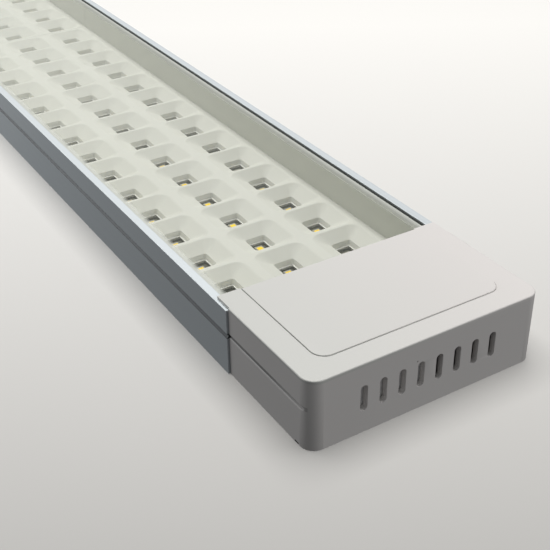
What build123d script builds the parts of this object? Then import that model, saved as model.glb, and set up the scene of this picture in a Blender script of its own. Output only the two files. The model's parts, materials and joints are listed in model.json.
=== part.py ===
from build123d import *
import math
import os

# LED linear light, lying on its back: X along the light, Y across it, Z the way it shines.
# The origin is in the middle of the back face. All sizes are millimetres.

# Overall sizes
overall_length = 600.0
cap_length = 38.8
channel_width = 75.0
channel_height = 20.7

# Channel extrusion
channel_wall = 1.6
channel_floor = 1.6
back_recess_depth = 1.4
pedestal_margin = 1.0
lip_width = 2.6
lip_thickness = 0.8
cover_ledge_reach = 0.9
cover_ledge_thickness = 0.8
groove_height = 12.5
groove_width = 1.4
groove_depth = 0.6
port_diameter = 5.0
port_bore = 2.6
port_stem = 1.6

# Clear cover
cover_thickness = 1.0
cover_play = 0.1
cover_side_gap = 0.3
cover_end_gap = 0.3

# LED grid
column_margin = 0.45
row_pitch = 17.2
module_margin = 0.9

# LED boards and packages
board_width = 52.0
board_thickness = 1.0
board_end_gap = 1.0
board_seam = 0.6
led_length = 3.5
led_width = 2.8
led_height = 0.7
phosphor_length = 2.0
phosphor_width = 1.8
phosphor_depth = 0.3
led_offsets = ((0.8, -0.3), (0.0, 0.0), (0.9, 0.1))

# Reflector
window_size = 5.5
window_depth = 1.2
well_length = 7.4
well_width = 7.1
well_depth = 1.6
well_draft = 0.4
well_wall = 1.45
pocket_depth = 2.6
pocket_corner = 4.5
pocket_foot_corner = 0.9
row_ridge = 1.0
column_ridge = 2.5
ridge_skin = 1.2
reflector_wall = 1.0
reflector_flare = 0.75
reflector_rail = 1.85
reflector_flange_gap = 0.15
reflector_flange = 1.0
reflector_end_gap = 0.5
reflector_seam = 0.2
cut_overrun = 0.5

# End caps
cap_inset = 0.56
cap_wall = 1.8
cap_bulkhead = 1.8
cap_top_thickness = 1.8
cap_corner = 4.2
cap_edge = 0.4
joint_gap = 0.3
plate_overlap = 6.2
plate_thickness = 0.95
plate_side_inset = 0.9
vent_count = 8
vent_pitch = 5.92
vent_width = 2.2
vent_height = 7.9
vent_middle = 10.9
groove_end_margin = 2.6
notch_length = 1.8
notch_height = 0.6
notch_end_margin = 4.6
boss_diameter = 6.0
boss_bore = 2.4
boss_bore_depth = 8.0
boss_sink = 0.6
boss_end_inset = 5.0
bulkhead_boss_top = 10.0
wire_window_width = 6.4
wire_window_height = 3.6

# Wiring covers
lid_half_width = 29.4
lid_end_margin = 7.1
lid_setback = 0.6
lid_sink = 0.45
lid_proud = 0.25
lid_corner = 4.0
lid_edge = 0.2
lid_gap = 0.16
lid_ledge = 1.6
skirt_wall = 1.2
skirt_depth = 2.5

# Base plates
base_thickness = 1.6
base_gap = 0.2
fixing_pitch = 550.0
fixing_bore = 4.5
cable_bore = 7.0
grommet_wall = 2.0
grommet_flange = 2.0
grommet_flange_thickness = 1.2
grommet_gap = 0.1
grommet_foot_gap = 0.2
grommet_from_bulkhead = 11.5
grommet_side = 16.0

# Screws
screw_play = 0.05
screw_clearance = 0.3
cap_screw_head = 5.0
cap_screw_head_height = 1.8
cap_screw_reach = 10.0
base_screw_diameter = 2.3
base_screw_head = 4.6
base_screw_head_height = 1.2
base_screw_reach = 6.0
terminal_screw_reach = 1.2
terminal_screw_setback = 3.25
head_recess = 0.1
drive_slot_width = 0.7
drive_slot_depth = 0.5
board_screw_diameter = 2.4
board_screw_head = 4.4
board_screw_head_height = 1.4
board_screw_bite = 1.2
board_screws_per_board = 3
driver_screw_diameter = 2.0
driver_screw_head = 4.0
driver_screw_head_height = 1.4

# Wires
supply_wire_diameter = 1.8
led_wire_diameter = 1.4
wire_lift = 0.05
supply_wire_spread = 1.6
led_wire_spread = 1.1
wire_bend = 4.0
wire_bend_share = 0.45
wire_step_share = 0.25

# Terminal block
pole_count = 3
pole_pitch = 7.6
block_end_wall = 0.6
block_depth = 13.0
block_height = 13.4
block_rear_gap = 0.3
entry_bore = 2.2
entry_offset = 1.2
button_length = 4.0
button_width = 4.4
button_height = 6.2
button_proud = 1.2
button_gap = 0.3
button_wall = 1.3
clamp_thickness = 0.6
clamp_height = 3.0

# Earth lug
lug_diameter = 5.6
lug_wall_gap = 0.25
lug_thickness = 0.8
lug_barrel_diameter = 3.0
lug_barrel_length = 4.5
lug_wire_gap = 0.2

# Connectors on the LED boards
board_connector_length = 6.0
board_connector_width = 4.4
board_connector_height = 2.4
bridge_length = 12.0

# Driver board and the parts on it, places measured from the middle of the board
driver_length = 26.0
driver_width = 56.0
driver_thickness = 1.2
driver_boss_gap = 0.9
driver_wire_gap = 0.4
driver_access_bore = 10.0
driver_post_diameter = 4.4
driver_screw_places = ((11.0, 18.0), (0.6, 0.0))
driver_support_places = ((-10.5, 25.0), (-10.5, -25.0), (10.5, -25.0))
driver_connector_length = 7.0
driver_connector_width = 8.4
driver_connector_height = 6.0
driver_connector_inset = 0.3
fuse_size = (8.4, 4.2, 7.5)
fuse_place = (-8.6, 19.8)
varistor_diameter = 8.0
varistor_thickness = 3.6
varistor_place = (-8.6, 25.4)
film_capacitor_size = (10.8, 5.5, 10.0)
film_capacitor_boss_gap = 0.7
film_capacitor_side = 24.2
choke_diameter = 9.0
choke_waist = 6.6
choke_height = 9.0
choke_flange = 1.2
choke_place = (3.6, 12.2)
rectifier_size = (6.0, 5.0, 2.2)
rectifier_place = (7.4, 1.4)
bulk_capacitor_diameter = 8.0
bulk_capacitor_height = 12.0
bulk_capacitor_edge = 0.8
bulk_capacitor_places = ((-8.2, -20.6), (6.0, -23.6))
core_size = (14.0, 5.0, 11.0)
core_leg = 2.4
core_middle_leg = 3.6
core_place = (4.4, -12.0)
bobbin_width = 13.0
bobbin_gap = 0.2

# Places worked out from the sizes above
channel_length = overall_length - 2 * cap_length
channel_end = channel_length / 2
channel_half = channel_width / 2
channel_inner = channel_half - channel_wall
floor_top = back_recess_depth + channel_floor
pedestal_half = board_width / 2 + pedestal_margin

cover_top = channel_height - lip_thickness - cover_play
cover_bottom = cover_top - cover_thickness
ledge_top = cover_bottom
ledge_inner = channel_inner - cover_ledge_reach

board_top = floor_top + board_thickness
board_length = channel_end - board_end_gap - board_seam / 2
board_middle = board_seam / 2 + board_length / 2
ledge_level = board_top + window_depth
well_top = ledge_level + well_depth
deck_top = well_top + pocket_depth

flange_half = ledge_inner - reflector_flange_gap
flange_top = cover_bottom - cover_play
tray_mouth_half = flange_half - reflector_rail
tray_half = tray_mouth_half - reflector_flare
column_pitch = (tray_half - column_margin) * 2 / 3
ridge_side = column_pitch / 2
pocket_length = row_pitch - row_ridge
pocket_width = column_pitch - column_ridge
row_first = module_margin + row_pitch / 2
row_room = channel_end - reflector_end_gap - reflector_wall - pocket_length / 2 - row_first
rows_per_module = int(row_room / row_pitch) + 1
row_places = [row_first + row * row_pitch for row in range(rows_per_module)]
column_places = [-column_pitch, 0.0, column_pitch]

wire_height = board_top + supply_wire_diameter / 2 + wire_lift
line_side = -ridge_side - supply_wire_spread
neutral_side = -ridge_side + supply_wire_spread

cap_start = channel_end + joint_gap
cap_end = overall_length / 2
cap_half = channel_half - cap_inset
cap_top = channel_height + plate_thickness
inner_start = cap_start + cap_bulkhead
inner_end = cap_end - cap_wall
inner_half = cap_half - cap_wall
inner_top = cap_top - cap_top_thickness
plate_start = channel_end - plate_overlap
plate_half = channel_half - plate_side_inset

port_side = inner_half - lug_diameter / 2 - lug_wall_gap
port_height = base_thickness + lug_diameter / 2 + lug_wall_gap

boss_radius = boss_diameter / 2
boss_end_place = inner_end - boss_end_inset
boss_side = inner_half - boss_radius + boss_sink
bulkhead_boss_place = inner_start + boss_radius - boss_sink
base_screw_places = [
    (boss_end_place, boss_side),
    (boss_end_place, -boss_side),
    (bulkhead_boss_place, 0.0),
]

lid_end = cap_end - lid_end_margin
lid_seat = cap_top - lid_sink
opening_end = lid_end - lid_ledge
opening_half = lid_half_width - lid_ledge
fixing_place = fixing_pitch / 2

block_end = inner_end - block_rear_gap
block_start = block_end - block_depth
block_half = pole_count * pole_pitch / 2 + block_end_wall
block_side = line_side - entry_offset
block_top = base_thickness + block_height
earth_pole = block_side - pole_pitch
line_pole = block_side
neutral_pole = block_side + pole_pitch
pole_places = [earth_pole, line_pole, neutral_pole]
pocket_floor = wire_height - supply_wire_diameter / 2 - clamp_thickness
button_start = block_start + button_wall
button_bottom = block_top + button_proud - button_height
terminal_screw_places = [
    (block_end - terminal_screw_setback, line_pole - pole_pitch / 2),
    (block_end - terminal_screw_setback, line_pole + pole_pitch / 2),
]

driver_top = wire_height - supply_wire_diameter / 2 - driver_wire_gap
driver_bottom = driver_top - driver_thickness
driver_start = bulkhead_boss_place + boss_radius + driver_boss_gap
driver_middle = driver_start + driver_length / 2
driver_connector_start = driver_start + driver_connector_inset
film_capacitor_end = boss_end_place - boss_radius - film_capacitor_boss_gap
film_capacitor_middle = film_capacitor_end - film_capacitor_size[0] / 2
film_capacitor_place = (film_capacitor_middle - driver_middle, film_capacitor_side)


def block(x0, x1, y0, y1, z0, z1):
    middle = Pos((x0 + x1) / 2, (y0 + y1) / 2, (z0 + z1) / 2)
    return middle * Box(x1 - x0, y1 - y0, z1 - z0)


def centred_block(x0, x1, half_width, z0, z1):
    return block(x0, x1, -half_width, half_width, z0, z1)


def post(x, y, z0, z1, diameter):
    return Pos(x, y, (z0 + z1) / 2) * Cylinder(diameter / 2, z1 - z0)


def rod(x0, x1, y, z, diameter):
    return Pos((x0 + x1) / 2, y, z) * Rot(0, 90, 0) * Cylinder(diameter / 2, x1 - x0)


def cone(x, y, z0, z1, diameter_below, diameter_above):
    shape = Cone(diameter_below / 2, diameter_above / 2, z1 - z0)
    return Pos(x, y, (z0 + z1) / 2) * shape


def rounded_end_block(x0, x1, half_width, z0, z1, radius):
    # A block whose two upright edges at its outer end are rounded.
    shape = centred_block(x0, x1, half_width, z0, z1)
    upright = shape.edges().filter_by(Axis.Z)
    return fillet(upright.group_by(Axis.X)[-1], radius)


def to_far_end(shape):
    # The far end is the near end turned half a turn about the upright axis.
    return shape.rotate(Axis.Z, 180)


def groove_prism(x0, x1, half_width):
    # The V groove along both sides, cut from the outside inwards.
    reach = cut_overrun
    widening = groove_width / 2 * (groove_depth + reach) / groove_depth
    low = groove_height - widening
    high = groove_height + widening
    outside = half_width + reach
    inside = half_width - groove_depth
    right = Polyline((outside, low), (inside, groove_height), (outside, high), close=True)
    left = Polyline((-outside, low), (-inside, groove_height), (-outside, high), close=True)
    section = Plane.YZ * (make_face(right) + make_face(left))
    return Pos(x0, 0, 0) * extrude(section, x1 - x0, dir=(1, 0, 0))


def channel_extrusion():
    half_profile = [
        (0, back_recess_depth),
        (pedestal_half - channel_floor, back_recess_depth),
        (pedestal_half - channel_floor, 0),
        (channel_half, 0),
        (channel_half, channel_height),
        (channel_half - lip_width, channel_height),
        (channel_half - lip_width, channel_height - lip_thickness),
        (channel_inner, channel_height - lip_thickness),
        (channel_inner, ledge_top),
        (ledge_inner, ledge_top),
        (ledge_inner, ledge_top - cover_ledge_thickness),
        (channel_inner, ledge_top - cover_ledge_thickness),
        (channel_inner, channel_floor),
        (pedestal_half, channel_floor),
        (pedestal_half, floor_top),
        (0, floor_top),
    ]
    right = make_face(Polyline(*half_profile, close=True))
    section = right + mirror(right, Plane.YZ)
    for side in (-port_side, port_side):
        section += Pos(side, port_height) * Circle(port_diameter / 2)
        stem_height = port_height - channel_floor / 2
        section += Pos(side, port_height - stem_height / 2) * Rectangle(port_stem, stem_height)
    for side in (-port_side, port_side):
        section -= Pos(side, port_height) * Circle(port_bore / 2)
    shape = extrude(Plane.YZ * section, channel_length, dir=(1, 0, 0))
    shape = Pos(-channel_end, 0, 0) * shape
    shape -= groove_prism(-channel_end, channel_end, channel_half)
    for x in board_screw_places():
        bore = screw_bore(board_screw_diameter)
        shape -= post(x, ridge_side, floor_top - board_screw_bite, floor_top, bore)
    return shape


def screw_bore(diameter):
    return diameter + 2 * screw_play


def clear_cover():
    half_length = channel_end - cover_end_gap
    half_width = channel_inner - cover_side_gap
    return centred_block(-half_length, half_length, half_width, cover_bottom, cover_top)


def pocket_section(height):
    # The pocket widens evenly from the well's rim to the deck, and on past it.
    share = (height - well_top) / pocket_depth
    length = well_length + (pocket_length - well_length) * share
    width = well_width + (pocket_width - well_width) * share
    corner = pocket_foot_corner + (pocket_corner - pocket_foot_corner) * share
    return Pos(0, 0, height) * RectangleRounded(length, width, corner)


def well_section(height, inset):
    length = well_length - 2 * inset
    width = well_width - 2 * inset
    return Pos(0, 0, height) * RectangleRounded(length, width, pocket_foot_corner)


def pocket_cut():
    sections = [pocket_section(well_top), pocket_section(deck_top + cut_overrun)]
    cut = loft(sections, ruled=True)
    cut += loft([well_section(ledge_level, well_draft), well_section(well_top, 0.0)], ruled=True)
    window = window_size / 2
    cut += block(-window, window, -window, window, board_top - cut_overrun, ledge_level)
    return cut


def reflector():
    well_edge = well_width / 2 + well_wall
    foot_edge = column_pitch + well_edge
    skin_level = deck_top - ridge_skin
    skin_half = tray_half - column_ridge / 2
    half_profile = [
        (0, board_top),
        (foot_edge, board_top),
        (skin_half, skin_level),
        (tray_half + reflector_wall, skin_level),
        (tray_mouth_half + reflector_wall, flange_top - reflector_flange),
        (flange_half, flange_top - reflector_flange),
        (flange_half, flange_top),
        (tray_mouth_half, flange_top),
        (tray_half, deck_top),
        (0, deck_top),
    ]
    right = make_face(Polyline(*half_profile, close=True))
    section = right + mirror(right, Plane.YZ)
    groove_foot = ridge_side - well_edge
    groove_head = column_ridge / 2
    for side in (-ridge_side, ridge_side):
        groove = Polyline(
            (side - groove_foot, board_top - cut_overrun),
            (side - groove_foot, board_top),
            (side - groove_head, skin_level),
            (side + groove_head, skin_level),
            (side + groove_foot, board_top),
            (side + groove_foot, board_top - cut_overrun),
            close=True,
        )
        section -= make_face(groove)
    start = reflector_seam / 2
    end = channel_end - reflector_end_gap
    shape = Pos(start, 0, 0) * extrude(Plane.YZ * section, end - start, dir=(1, 0, 0))
    shape += centred_block(end - reflector_wall, end, tray_mouth_half, skin_level, flange_top)
    cut = pocket_cut()
    cuts = [Pos(x, y, 0) * cut for x in row_places for y in column_places]
    return shape - cuts


def led_places():
    # The outer columns of LEDs sit a little nearer the light's ends than the windows over them.
    near = [(x + dx, y + dy) for x in row_places for y, (dx, dy) in zip(column_places, led_offsets)]
    return near + [(-x, -y) for x, y in near]


def phosphor(x, y):
    top = board_top + led_height
    half_length = phosphor_length / 2
    half_width = phosphor_width / 2
    return block(x - half_length, x + half_length, y - half_width, y + half_width, top - phosphor_depth, top)


def led_package(x, y):
    half_length = led_length / 2
    half_width = led_width / 2
    top = board_top + led_height
    body = block(x - half_length, x + half_length, y - half_width, y + half_width, board_top, top)
    return body - phosphor(x, y)


def board_screw_places():
    step = board_length / board_screws_per_board
    near = [board_middle + (number - (board_screws_per_board - 1) / 2) * step
            for number in range(board_screws_per_board)]
    return near + [-x for x in near]


def led_board():
    start = board_seam / 2
    shape = centred_block(start, start + board_length, board_width / 2, floor_top, board_top)
    for x in board_screw_places():
        if x > 0:
            for side in (ridge_side, -ridge_side):
                bore = board_screw_diameter + 2 * screw_clearance
                shape -= post(x, side, floor_top, board_top, bore)
    return shape


def drive_slot(x, y, head_top, head):
    half_width = drive_slot_width / 2
    half_head = head / 2
    return block(x - half_width, x + half_width, y - half_head, y + half_head,
                 head_top - drive_slot_depth, head_top)


def board_screw(x):
    shape = post(x, ridge_side, floor_top - board_screw_bite, board_top, board_screw_diameter)
    head_top = board_top + board_screw_head_height
    shape += post(x, ridge_side, board_top, head_top, board_screw_head)
    return shape - drive_slot(x, ridge_side, head_top, board_screw_head)


def on_board_connector(x0, x1):
    half_width = board_connector_width / 2
    top = board_top + board_connector_height
    return block(x0, x1, ridge_side - half_width, ridge_side + half_width, board_top, top)


def end_cap():
    shape = rounded_end_block(cap_start, cap_end, cap_half, 0, cap_top, cap_corner)
    rim = shape.faces().sort_by(Axis.Z)[-1].edges().sort_by(Axis.X)[1:]
    shape = fillet(rim, cap_edge)
    shape += centred_block(plate_start, cap_start + cap_bulkhead, plate_half, channel_height, cap_top)
    inner_corner = cap_corner - cap_wall
    shape -= rounded_end_block(inner_start, inner_end, inner_half, 0, inner_top, inner_corner)
    shape += cap_bosses()
    shape -= rounded_end_block(plate_start - cut_overrun, lid_end + lid_gap, lid_half_width + lid_gap,
                               lid_seat, cap_top + cut_overrun, lid_corner + lid_gap)
    shape -= rounded_end_block(inner_start, opening_end, opening_half,
                               inner_top - cut_overrun, cap_top, lid_corner - lid_ledge)
    shape -= groove_prism(cap_start, cap_end - groove_end_margin, cap_half)
    notch_end = cap_end - notch_end_margin
    shape -= block(notch_end - notch_length, notch_end, -cap_half, -inner_half, 0, notch_height)
    shape -= vent_cuts()
    for side in (-port_side, port_side):
        bore = port_bore + 2 * screw_clearance
        shape -= rod(cap_start, inner_start, side, port_height, bore)
    for side in (-ridge_side, ridge_side):
        half_window = wire_window_width / 2
        low = wire_height - wire_window_height / 2
        high = wire_height + wire_window_height / 2
        shape -= block(cap_start, inner_start, side - half_window, side + half_window, low, high)
    return shape


def cap_bosses():
    tops = [inner_top, inner_top, bulkhead_boss_top]
    bosses = []
    for (x, y), top in zip(base_screw_places, tops):
        boss = post(x, y, base_thickness, top, boss_diameter)
        bosses.append(boss - post(x, y, base_thickness, base_thickness + boss_bore_depth, boss_bore))
    return bosses


def vent_cuts():
    slot = SlotOverall(vent_height, vent_width, rotation=90)
    middle = (vent_count - 1) / 2
    cuts = []
    for number in range(vent_count):
        side = (number - middle) * vent_pitch
        section = Plane.YZ * Pos(side, vent_middle) * slot
        cuts.append(Pos(inner_end, 0, 0) * extrude(section, cap_wall + cut_overrun, dir=(1, 0, 0)))
    return cuts


def wiring_cover():
    start = plate_start + lid_setback
    shape = rounded_end_block(start, lid_end, lid_half_width, lid_seat, cap_top + lid_proud, lid_corner)
    shape = fillet(shape.faces().sort_by(Axis.Z)[-1].edges(), lid_edge)
    skirt_start = inner_start + lid_gap
    skirt_end = opening_end - lid_gap
    skirt_half = opening_half - lid_gap
    skirt_bottom = lid_seat - skirt_depth
    skirt_corner = lid_corner - lid_ledge - lid_gap
    skirt = rounded_end_block(skirt_start, skirt_end, skirt_half, skirt_bottom, lid_seat, skirt_corner)
    skirt -= centred_block(skirt_start + skirt_wall, skirt_end - skirt_wall, skirt_half - skirt_wall,
                           skirt_bottom, lid_seat)
    return shape + skirt


def base_plate():
    corner = cap_corner - cap_wall - base_gap
    shape = rounded_end_block(inner_start + base_gap, inner_end - base_gap, inner_half - base_gap,
                              0, base_thickness, corner)
    shape -= post(fixing_place, 0, 0, base_thickness, fixing_bore)
    for x, y in base_screw_places:
        shape -= countersink(x, y)
    return shape


def countersink(x, y):
    bore = base_screw_diameter + 2 * screw_clearance
    head = base_screw_head + 2 * screw_clearance
    depth = head_recess + base_screw_head_height
    return post(x, y, 0, base_thickness, bore) + cone(x, y, 0, depth, head, bore)


def countersunk_screw(x, y, reach):
    head_top = head_recess + base_screw_head_height
    shape = cone(x, y, head_recess, head_top, base_screw_head, base_screw_diameter)
    shape += post(x, y, head_top, base_thickness + reach, base_screw_diameter)
    slot = drive_slot_width / 2
    half_head = base_screw_head / 2
    slot_top = head_recess + drive_slot_depth
    return shape - block(x - slot, x + slot, y - half_head, y + half_head, head_recess, slot_top)


def near_base_plate():
    shape = base_plate()
    x = inner_start + grommet_from_bulkhead
    shape -= post(x, grommet_side, 0, base_thickness, cable_bore + 2 * grommet_wall + 2 * grommet_gap)
    for place in terminal_screw_places:
        shape -= countersink(*place)
    return shape


def far_base_plate():
    shape = base_plate()
    for dx, dy in driver_screw_places:
        x = driver_middle + dx
        bore = screw_bore(driver_screw_diameter)
        shape += post(x, dy, base_thickness, driver_bottom, driver_post_diameter)
        shape -= post(x, dy, driver_screw_tip(), driver_bottom, bore)
    for dx, dy in driver_support_places:
        shape += post(driver_middle + dx, dy, base_thickness, driver_bottom, driver_post_diameter)
    return to_far_end(shape)


def driver_screw_tip():
    return driver_bottom - base_thickness


def cable_grommet():
    x = inner_start + grommet_from_bulkhead
    body = cable_bore + 2 * grommet_wall
    flange_top_level = base_thickness + grommet_flange_thickness
    shape = post(x, grommet_side, grommet_foot_gap, base_thickness, body)
    shape += post(x, grommet_side, base_thickness, flange_top_level, body + 2 * grommet_flange)
    return shape - post(x, grommet_side, grommet_foot_gap, flange_top_level, cable_bore)


def cap_screw(side, seat):
    tip = channel_end - cap_screw_reach
    shape = rod(tip, seat, side, port_height, port_bore - 2 * screw_play)
    head_end = seat + cap_screw_head_height
    shape += rod(seat, head_end, side, port_height, cap_screw_head)
    slot = drive_slot_width / 2
    half_head = cap_screw_head / 2
    return shape - block(head_end - drive_slot_depth, head_end, side - half_head, side + half_head,
                         port_height - slot, port_height + slot)


def cap_screws():
    earthed = cap_screw(-port_side, inner_start + lug_thickness)
    plain = cap_screw(port_side, inner_start)
    far = [to_far_end(cap_screw(side, inner_start)) for side in (-port_side, port_side)]
    return [earthed, plain] + far


def base_screws():
    near = [countersunk_screw(x, y, base_screw_reach) for x, y in base_screw_places]
    return near + [to_far_end(screw) for screw in near]


def terminal_screws():
    return [countersunk_screw(x, y, terminal_screw_reach) for x, y in terminal_screw_places]


def terminal_block():
    low = block_side - block_half
    high = block_side + block_half
    shape = block(block_start, block_end, low, high, base_thickness, block_top)
    pocket_start = button_start - button_gap
    pocket_end = button_start + button_length + button_gap
    pocket_half = button_width / 2 + button_gap
    for pole in pole_places:
        shape -= block(pocket_start, pocket_end, pole - pocket_half, pole + pocket_half,
                       pocket_floor, block_top)
        for offset in (-entry_offset, entry_offset):
            shape -= rod(block_start, pocket_start, pole + offset, wire_height, entry_bore)
    for x, y in terminal_screw_places:
        shape -= post(x, y, base_thickness, base_thickness + terminal_screw_reach + screw_clearance,
                      screw_bore(base_screw_diameter))
    return shape


def terminal_button(pole):
    half_width = button_width / 2
    top = button_bottom + button_height
    return block(button_start, button_start + button_length, pole - half_width, pole + half_width,
                 button_bottom, top)


def terminal_clamp(pole):
    # A strip under the wires, turned up behind their ends.
    half_width = button_width / 2
    end = button_start + button_length
    foot = block(button_start, end, pole - half_width, pole + half_width,
                 pocket_floor, pocket_floor + clamp_thickness)
    back = block(end - clamp_thickness, end, pole - half_width, pole + half_width,
                 pocket_floor, pocket_floor + clamp_height)
    return foot + back


def wire_start():
    return button_start + button_length / 2


def far_connector_face():
    return -driver_connector_start


def straight_wire(x0, x1, side, diameter):
    return rod(x0, x1, side, wire_height, diameter)


def bent_wire(points, diameter):
    runs = [math.dist(a, b) for a, b in zip(points, points[1:])]
    room = min(runs) * wire_bend_share
    path = FilletPolyline(*points, radius=min(wire_bend, room))
    return sweep(Plane(path @ 0, z_dir=path % 0) * Circle(diameter / 2), path)


def supply_wire_line():
    return straight_wire(far_connector_face(), wire_start(), line_side, supply_wire_diameter)


def supply_wire_neutral():
    leaving = neutral_pole - entry_offset
    margin = (block_start - inner_start) * wire_step_share
    points = [
        (wire_start(), leaving, wire_height),
        (block_start - margin, leaving, wire_height),
        (inner_start + margin, neutral_side, wire_height),
        (far_connector_face(), neutral_side, wire_height),
    ]
    return bent_wire(points, supply_wire_diameter)


def lug_barrel_middle():
    return inner_start + lug_barrel_diameter / 2


def lug_barrel_end():
    return -port_side + lug_diameter / 2 + lug_barrel_length


def earth_wire():
    leaving = earth_pole + entry_offset
    points = [
        (wire_start(), leaving, wire_height),
        (lug_barrel_middle(), leaving, wire_height),
        (lug_barrel_middle(), lug_barrel_end() + lug_wire_gap, port_height),
    ]
    return bent_wire(points, supply_wire_diameter)


def earth_lug():
    face = inner_start + lug_thickness
    shape = rod(inner_start, face, -port_side, port_height, lug_diameter)
    tongue_half = lug_barrel_diameter / 2
    shape += block(inner_start, face, -port_side, lug_barrel_end(),
                   port_height - tongue_half, port_height + tongue_half)
    barrel = Rot(90, 0, 0) * Cylinder(lug_barrel_diameter / 2, lug_barrel_length)
    shape += Pos(lug_barrel_middle(), lug_barrel_end() - lug_barrel_length / 2, port_height) * barrel
    return shape - rod(inner_start, face, -port_side, port_height, port_bore + 2 * screw_clearance)


def led_wire(offset):
    board_face = -(channel_end - board_end_gap)
    return straight_wire(far_connector_face(), board_face, ridge_side + offset, led_wire_diameter)


def on_driver(place, size):
    x = driver_middle + place[0]
    y = place[1]
    length, width, height = size
    return block(x - length / 2, x + length / 2, y - width / 2, y + width / 2,
                 driver_top, driver_top + height)


def driver_board():
    end = driver_start + driver_length
    shape = centred_block(driver_start, end, driver_width / 2, driver_bottom, driver_top)
    shape -= post(fixing_place, 0, driver_bottom, driver_top, driver_access_bore)
    for dx, dy in driver_screw_places:
        bore = driver_screw_diameter + 2 * screw_clearance
        shape -= post(driver_middle + dx, dy, driver_bottom, driver_top, bore)
    return shape


def driver_screw(place):
    x = driver_middle + place[0]
    y = place[1]
    head_top = driver_top + driver_screw_head_height
    shape = post(x, y, driver_screw_tip(), driver_top, driver_screw_diameter)
    shape += post(x, y, driver_top, head_top, driver_screw_head)
    return shape - drive_slot(x, y, head_top, driver_screw_head)


def driver_connector(side):
    half_width = driver_connector_width / 2
    end = driver_connector_start + driver_connector_length
    top = driver_top + driver_connector_height
    return block(driver_connector_start, end, side - half_width, side + half_width, driver_top, top)


def varistor():
    x = driver_middle + varistor_place[0]
    disc = Rot(90, 0, 0) * Cylinder(varistor_diameter / 2, varistor_thickness)
    standing = Pos(x, varistor_place[1], driver_top + varistor_diameter / 2) * disc
    foot = on_driver(varistor_place, (varistor_diameter / 2, varistor_thickness, varistor_diameter / 2))
    return standing + foot


def line_choke():
    x = driver_middle + choke_place[0]
    y = choke_place[1]
    top = driver_top + choke_height
    shape = post(x, y, driver_top, top, choke_waist)
    shape += post(x, y, driver_top, driver_top + choke_flange, choke_diameter)
    return shape + post(x, y, top - choke_flange, top, choke_diameter)


def bulk_capacitor(place):
    x = driver_middle + place[0]
    can = post(x, place[1], driver_top, driver_top + bulk_capacitor_height, bulk_capacitor_diameter)
    return fillet(can.edges().sort_by(Axis.Z)[-1], bulk_capacitor_edge)


def core_windows(gap):
    # The two openings beside the core's middle leg, narrowed all round by a gap.
    length, width, height = core_size
    x = driver_middle + core_place[0]
    outer = length / 2 - core_leg - gap
    inner = core_middle_leg / 2 + gap
    low = driver_top + core_leg + gap
    high = driver_top + height - core_leg - gap
    half_width = bobbin_width / 2
    y0 = core_place[1] - half_width
    y1 = core_place[1] + half_width
    return [
        block(x - outer, x - inner, y0, y1, low, high),
        block(x + inner, x + outer, y0, y1, low, high),
    ]


def transformer_core():
    return on_driver(core_place, core_size) - core_windows(0.0)


def transformer_bobbin():
    # The winding fills both windows and joins round the two faces of the core.
    length, width, height = core_size
    x = driver_middle + core_place[0]
    outer = length / 2 - core_leg - bobbin_gap
    low = driver_top + core_leg + bobbin_gap
    high = driver_top + height - core_leg - bobbin_gap
    shape = core_windows(bobbin_gap)[0] + core_windows(bobbin_gap)[1]
    for sign in (-1, 1):
        face = core_place[1] + sign * (width / 2 + bobbin_gap)
        edge = core_place[1] + sign * bobbin_width / 2
        shape += block(x - outer, x + outer, min(face, edge), max(face, edge), low, high)
    return shape


def group(solids):
    return Compound(children=[solid.solid() for solid in solids])


nodes = {
    "channel_extrusion": channel_extrusion(),
    "clear_cover": clear_cover(),
    "reflector_near": reflector(),
    "led_board_near": led_board(),
    "led_board_far": to_far_end(led_board()),
    "led_packages": group([led_package(x, y) for x, y in led_places()]),
    "led_phosphors": group([phosphor(x, y) for x, y in led_places()]),
    "board_screws": group([board_screw(x) for x in board_screw_places()]),
    "board_bridge": on_board_connector(-bridge_length / 2, bridge_length / 2),
    "board_connector": on_board_connector(
        -(channel_end - board_end_gap), -(channel_end - board_end_gap) + board_connector_length),
    "end_cap_near": end_cap(),
    "base_plate_near": near_base_plate(),
    "base_plate_far": far_base_plate(),
    "wiring_cover_near": wiring_cover(),
    "cable_grommet": cable_grommet(),
    "cap_screws": group(cap_screws()),
    "base_screws": group(base_screws()),
    "terminal_block": terminal_block(),
    "terminal_button_earth": terminal_button(earth_pole),
    "terminal_button_line": terminal_button(line_pole),
    "terminal_button_neutral": terminal_button(neutral_pole),
    "terminal_clamps": group([terminal_clamp(pole) for pole in pole_places]),
    "terminal_screws": group(terminal_screws()),
    "supply_wire_line": supply_wire_line(),
    "supply_wire_neutral": supply_wire_neutral(),
    "earth_wire": earth_wire(),
    "earth_lug": earth_lug(),
    "led_wire_positive": led_wire(led_wire_spread),
    "led_wire_negative": led_wire(-led_wire_spread),
    "driver_board": to_far_end(driver_board()),
    "driver_screws": group([to_far_end(driver_screw(place)) for place in driver_screw_places]),
    "driver_input_connector": to_far_end(driver_connector(ridge_side)),
    "driver_output_connector": to_far_end(driver_connector(-ridge_side)),
    "fuse": to_far_end(on_driver(fuse_place, fuse_size)),
    "varistor": to_far_end(varistor()),
    "film_capacitor": to_far_end(on_driver(film_capacitor_place, film_capacitor_size)),
    "line_choke": to_far_end(line_choke()),
    "bridge_rectifier": to_far_end(on_driver(rectifier_place, rectifier_size)),
    "bulk_capacitors": group([to_far_end(bulk_capacitor(place)) for place in bulk_capacitor_places]),
    "transformer_core": to_far_end(transformer_core()),
    "transformer_bobbin": to_far_end(transformer_bobbin()),
}
for name in ("reflector", "end_cap", "wiring_cover"):
    nodes[name + "_far"] = to_far_end(nodes[name + "_near"])

os.makedirs("parts", exist_ok=True)
for name, shape in nodes.items():
    export_step(shape, f"parts/{name}.step")
print(len(nodes), "nodes,", rows_per_module, "rows in a module")
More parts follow.
